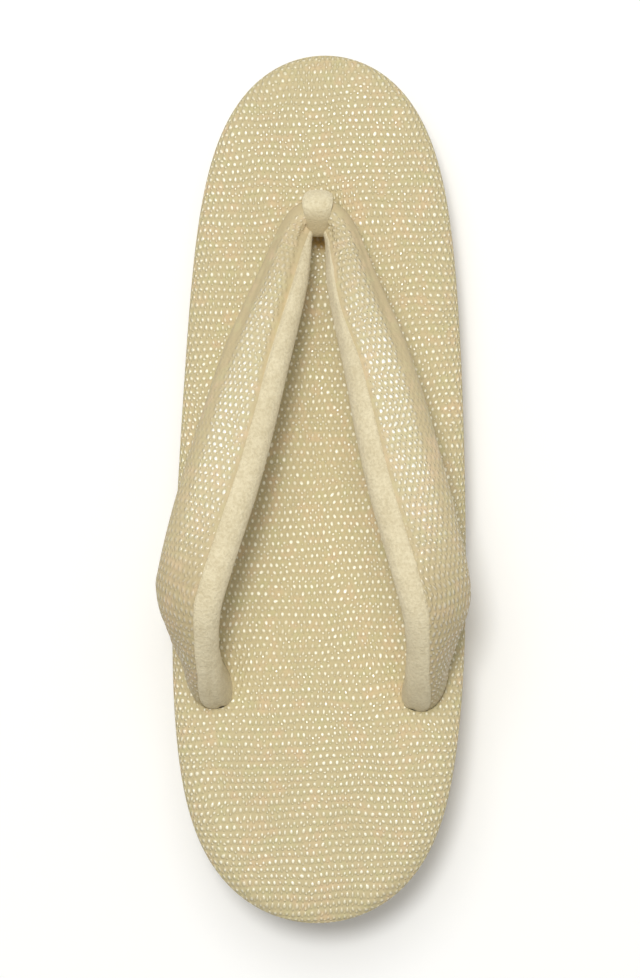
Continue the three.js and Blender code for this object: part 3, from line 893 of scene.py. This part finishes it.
def dent_depth(dent, at, degrees):
    """How far one soft dent presses it in."""
    place, length, angle, wide, deep = dent
    return deep * math.exp(-(((at - place) / length) ** 2) - ((degrees - angle) / wide) ** 2)


def seam_angle(at, side):
    """Where leather and suede meet. On the right arm the seam bows toward the opening."""
    bowed = SEAM_BOW * math.exp(-(((at - SEAM_BOW_AT) / SEAM_BOW_LENGTH) ** 2))
    return strap_value("seam", at) - (bowed if side > 0 else 0.0)


def lining_inset(at, degrees, side):
    """Full size where the suede shows, and drawn in under the leather."""
    seam = seam_angle(at, side)
    turn = degrees if degrees <= 180 else degrees - 360
    covered = ease(seam - 1, seam + 6, turn) if turn > -90 else 0.0
    if turn > 180 - 1e-6 or turn < -90:
        covered = 1 - ease(180 + STRAP_WRAP - 5, 180 + STRAP_WRAP + 3, turn % 360)
    inset = covered * (STRAP_WALL + STRAP_GAP + fold_depth(FACE_FOLDS, at, turn, side))
    pressed = fold_depth(LINING_FOLDS, at, turn, side)
    pressed += crease_depth(LINING_CREASES, at, turn, side)
    return inset + dent_depth(POST_PRESS, at, turn) + pressed * (1 - covered)


lining_mesh = band_body(
    ARM_STEPS,
    LINING_AROUND,
    lambda at, share, side: seam_angle(at, side) + 360 * share,
    lining_inset,
)
lining = make_piece(close_band(lining_mesh), "strap_lining_pad")

NAP_SIZE, NAP_HEIGHT = 0.8, 0.5


def suede_cloth(name, pale, shade, painted_shade_end=None):
    """Brushed suede cloth: a short nap that scatters the light, with soft hand-brushed clouds.
    The painted shade end gives the colour of painted shade at one end, and where along the shoe it
    starts and is full."""
    material = new_material(name, pale)
    tree = material.node_tree
    in_shoe = add_node(tree, "ShaderNodeTexCoord").outputs["Object"]
    clouds = map_range(tree, noise(tree, in_shoe, 4.5 * MM, 4.0), 0.3, 0.7, 0.25, 0.75)
    nap = noise(tree, in_shoe, NAP_SIZE * MM, 4.0, roughness=0.65)
    fibres = map_range(tree, nap, 0.38, 0.62, -0.35, 0.35)
    mottle = number_math(tree, "ADD", clouds, fibres, use_clamp=True)
    tone = mixed(tree, mottle, shade, pale)
    # Painted shade, darker toward one end along the shoe.
    if painted_shade_end:
        colour, start, full = painted_shade_end
        apart = add_node(tree, "ShaderNodeSeparateXYZ", {"Vector": in_shoe})
        share = map_range(
            tree, apart.outputs["Y"], start * MM, full * MM, 0.0, 1.0, smooth=True
        )
        tone = mixed(tree, share, tone, colour)
    put_surface(
        tree,
        {
            "Base Color": tone,
            "Roughness": 0.95,
            "IOR": 1.4,
            "Sheen Weight": 0.3,
            "Sheen Roughness": 0.5,
            "Sheen Tint": hex_colour("#fff4dc"),
            "Normal": bumped(tree, nap, NAP_HEIGHT * MM),
        },
    )
    return material


# Microfibre suede, brushed: matt cream with no highlight at all, a shade darker where stroked.
lining_suede = suede_cloth("microfibre suede, brushed", "#e4d8b6", "#cdbf9b")
fasten(lining, "strap_lining", lining_suede)

# Strap face. The same bead-embossed leather in one strip from hole to hole, over the top and the
# outer side of the stuffed core, with its edges turned in and sewn to the suede.

FACE_ACROSS = 56
WAVER, WAVER_RATE = 3.6, 95
TURNED_EDGE = 0.6

# Short creases across the strip where it turns down: arm, place, length and depth.
FACE_CREASES = (
    (1, 0.815, 0.005, 0.12),
    (1, 0.850, 0.006, 0.16),
    (-1, 0.800, 0.005, 0.14),
    (-1, 0.826, 0.005, 0.18),
    (-1, 0.858, 0.006, 0.14),
)

# A small nub of the left arm's outer edge where it turns down, as a dent of negative depth.
NUB = (0.716, 0.012, 158, 26, -0.3)

# The beads of the right and left arm: how many degrees beside the seam they are pulled flat near
# the post, the least they stand up by the post, and how far at the hole. Last, how far they stand
# up on the outer side of either arm.
# These shares also place the painted crest highlight, and where they are low the darker stretched
# colour is painted shade.
ARM_BEADS = {1: (20, 0.55, 0.52), -1: (42, 0.36, 0.42)}
FLANK_BEADS = 0.34


def face_inset(at, degrees, side):
    inset = fold_depth(FACE_FOLDS, at, degrees, side) + dent_depth(POST_PRESS, at, degrees)
    inset += crease_depth(FACE_CREASES, at, degrees, side)
    return inset + (dent_depth(NUB, at, degrees) if side < 0 else 0.0)


def face_angle(at, share, side):
    """The strip's own angles: its inner edge wavers a little near the post."""
    near_post = (1 - ease(0.10, 0.22, at)) * ease(0.01, 0.04, at)
    waver = WAVER * math.sin(at * WAVER_RATE + side) * near_post
    return blend(seam_angle(at, side) + waver, 180 + STRAP_WRAP, share)


def beads_relief_glint_shade(at, degrees, side):
    """The beads stand full on the crown of the strip. They are pulled flat beside the seam, down
    the outer side and toward the post, and stand lower where the strip turns down. The same share
    places the painted crest highlight, and where it is low the darker stretched colour stands in as
    painted shade."""
    flat_degrees, by_post, at_hole = ARM_BEADS[side]
    seam = seam_angle(at, side)
    smooth = blend(flat_degrees, 10, ease(0.13, 0.44, at))
    beside_seam = ease(seam + 2, seam + smooth, degrees)
    outer_side = 1 - ease(blend(96, 106, at), blend(120, 138, at), degrees)
    toward_post = max(ease(-0.02, 0.34, at), by_post)
    turned_down = ease(0.50, 0.74, at)
    crown = beside_seam * outer_side * toward_post * blend(1.0, 0.2, turned_down)
    flank = FLANK_BEADS * (1 - outer_side) * ease(0.1, 0.6, at)
    return max(crown, blend(flank, at_hole, turned_down))


face_mesh = band_body(ARM_STEPS, FACE_ACROSS, face_angle, face_inset, relief_glint_shade_at=beads_relief_glint_shade)
bmesh.ops.recalc_face_normals(face_mesh, faces=face_mesh.faces[:])
topmost = max(face_mesh.faces, key=lambda face: face.calc_center_median().z)
if topmost.normal.z < 0:
    bmesh.ops.reverse_faces(face_mesh, faces=face_mesh.faces[:])
strap_face = make_piece(face_mesh, "strap_face")
wall = strap_face.modifiers.new("leather and backing", "SOLIDIFY")
wall.thickness = STRAP_WALL * MM
wall.offset = -1
turned_edge = strap_face.modifiers.new("turned edge", "BEVEL")
turned_edge.width = TURNED_EDGE * MM
turned_edge.segments = 4
turned_edge.limit_method = "ANGLE"
turned_edge.angle_limit = math.radians(50)

# The same split leather and glaze from the same plate, its bead rows laid across the strip. It is
# painted browner toward the holes, a painted shade where the strap turns down low by the sole.
strap_leather = pearl_leather(
    "bead-embossed strap leather, pearl glazed",
    # The fourth colour is a painted highlight on the bead crests.
    colours=("#bfae86", "#c8ba92", "#d6caa3", "#fffef0", "#c9c394", "#dcc09c"),
    beads=(1.58, 1.95, 0.0, 2.4, 0.42),
    relief=0.32,
    least_painted_glint=0.3,
    coat_ior=1.9,
    # Painted shade toward the rear holes.
    painted_shade_spot=("#9d8556", 31.0, -46.0, 6.0, 42.0, 0.28),
)
fasten(strap_face, "strap_upper", strap_leather)

# Toe post. A band of the same suede, looped over the joint of the two arms from front to back; its
# two legs are pressed together and go down through the front hole.

POST_AROUND = 36
POST_OVER = 14
POST_SQUARENESS = 3.2
POST_EDGE_ROLL = 0.7
HUGGING_WALL, REAR_WALL = 2.1, 1.6
LEG_GAP = 0.05
side_points = post_side(POST_OVER)
post_mesh = bmesh.new()
bmesh.ops.create_grid(
    post_mesh,
    x_segments=len(side_points) - 1,
    y_segments=POST_AROUND,
    size=1,
)
for vert in post_mesh.verts:
    number = round((vert.co.x + 1) / 2 * (len(side_points) - 1))
    turn = math.pi * (vert.co.y + 1)
    here = Vector(side_points[number])
    after = Vector(side_points[min(number + 1, len(side_points) - 1)])
    before = Vector(side_points[max(number - 1, 0)])
    run = (after - before).normalized()
    inward = Vector((-run.y, run.x))
    wall = blend(HUGGING_WALL, REAR_WALL, ease(0, 3, here.y) * ease(0, 2, -here.x))
    thickness = blend(STEM_LENGTH / 2 - LEG_GAP, wall, ease(-NECK, -2.0, here.y))
    across = squared(math.cos(turn), POST_SQUARENESS)
    through = squared(math.sin(turn), POST_SQUARENESS)
    rolled = POST_EDGE_ROLL * abs(across) ** 3 * (1 - through) / 2
    spot = here + inward * (thickness / 2 * (1 + through) + rolled)
    half_width = post_half_width(here.x, here.y)
    lean = FRONT_LEAN * ease(-NECK - 4, 0, spot.y)
    vert.co = (half_width * across - lean, POST_Y + spot.x, JOINT_Z + spot.y)
toe_post = make_piece(close_band(post_mesh), "toe_post_loop")

# The same microfibre suede, stretched over the loop and a shade paler; painted darker behind, a
# painted shade where it slopes down between the arms.
post_suede = suede_cloth(
    "microfibre suede, stretched",
    "#e6dbb9",
    "#d2c49f",
    # Painted shade on the loop's back.
    painted_shade_end=("#b9a983", POST_Y + 1.5, POST_Y - 3.5),
)
fasten(toe_post, "toe_post", post_suede)

# The studio: a plain white floor, an even white surround, and high above the toes a wide soft
# panel with a smaller lamp in front of it, which gives each bead its glint.

FLOOR_REACH = 3000
WHITE_CARD = "#f7f7f5"
SURROUND_STRENGTH = 0.39
floor_mesh = bmesh.new()
bmesh.ops.create_grid(floor_mesh, x_segments=4, y_segments=4, size=FLOOR_REACH)
floor = make_piece(floor_mesh, "studio_floor")
white_card = new_material("white card", WHITE_CARD)
put_surface(
    white_card.node_tree,
    {"Base Color": hex_colour(WHITE_CARD), "Roughness": 1.0, "Specular IOR Level": 0.0},
)
floor.data.materials.append(white_card)

world = bpy.data.worlds.new("studio")
world.use_nodes = True
world.node_tree.nodes.clear()
surround = add_node(
    world.node_tree,
    "ShaderNodeBackground",
    {"Color": (1, 1, 1, 1), "Strength": SURROUND_STRENGTH},
)
add_node(world.node_tree, "ShaderNodeOutputWorld", {"Surface": surround.outputs[0]})
bpy.context.scene.world = world


def soft_lamp(name, spot, size, watts):
    """A round diffuser of this size in mm, turned to the shoe."""
    data = bpy.data.lights.new(name, "AREA")
    data.shape = "DISK"
    data.size = size * MM
    data.energy = watts
    lamp = bpy.data.objects.new(name, data)
    lamp.location = Vector(spot) * MM
    lamp.rotation_euler = (-lamp.location).to_track_quat("-Z", "Y").to_euler()
    bpy.context.scene.collection.objects.link(lamp)


soft_lamp("toe_side_panel", (-30, 380, 1300), 700, 6.5)
soft_lamp("key_lamp", (-30, 200, 1300), 200, 7.5)

# The camera looks down from where the photograph was taken, over the inner side of the shoe, and
# is turned by as much as the shoe leans in the picture.

CAMERA_SPOT = Vector((38.85, 12.5, 837.0)) * MM
CAMERA_AIM = Vector((0.0, 0.0, 37.0)) * MM
CAMERA_LENS = 111.0
LEAN = math.radians(0.46)
camera_data = bpy.data.cameras.new("camera")
camera_data.lens = CAMERA_LENS
camera = bpy.data.objects.new("camera", camera_data)
back = (CAMERA_SPOT - CAMERA_AIM).normalized()
up = Vector((-math.sin(LEAN), math.cos(LEAN), 0))
right = up.cross(back).normalized()
turned = Matrix((right, back.cross(right), back)).transposed()
camera.matrix_world = Matrix.Translation(CAMERA_SPOT) @ turned.to_4x4()
bpy.context.scene.collection.objects.link(camera)
bpy.context.scene.camera = camera
bpy.context.scene.view_settings.view_transform = "Standard"
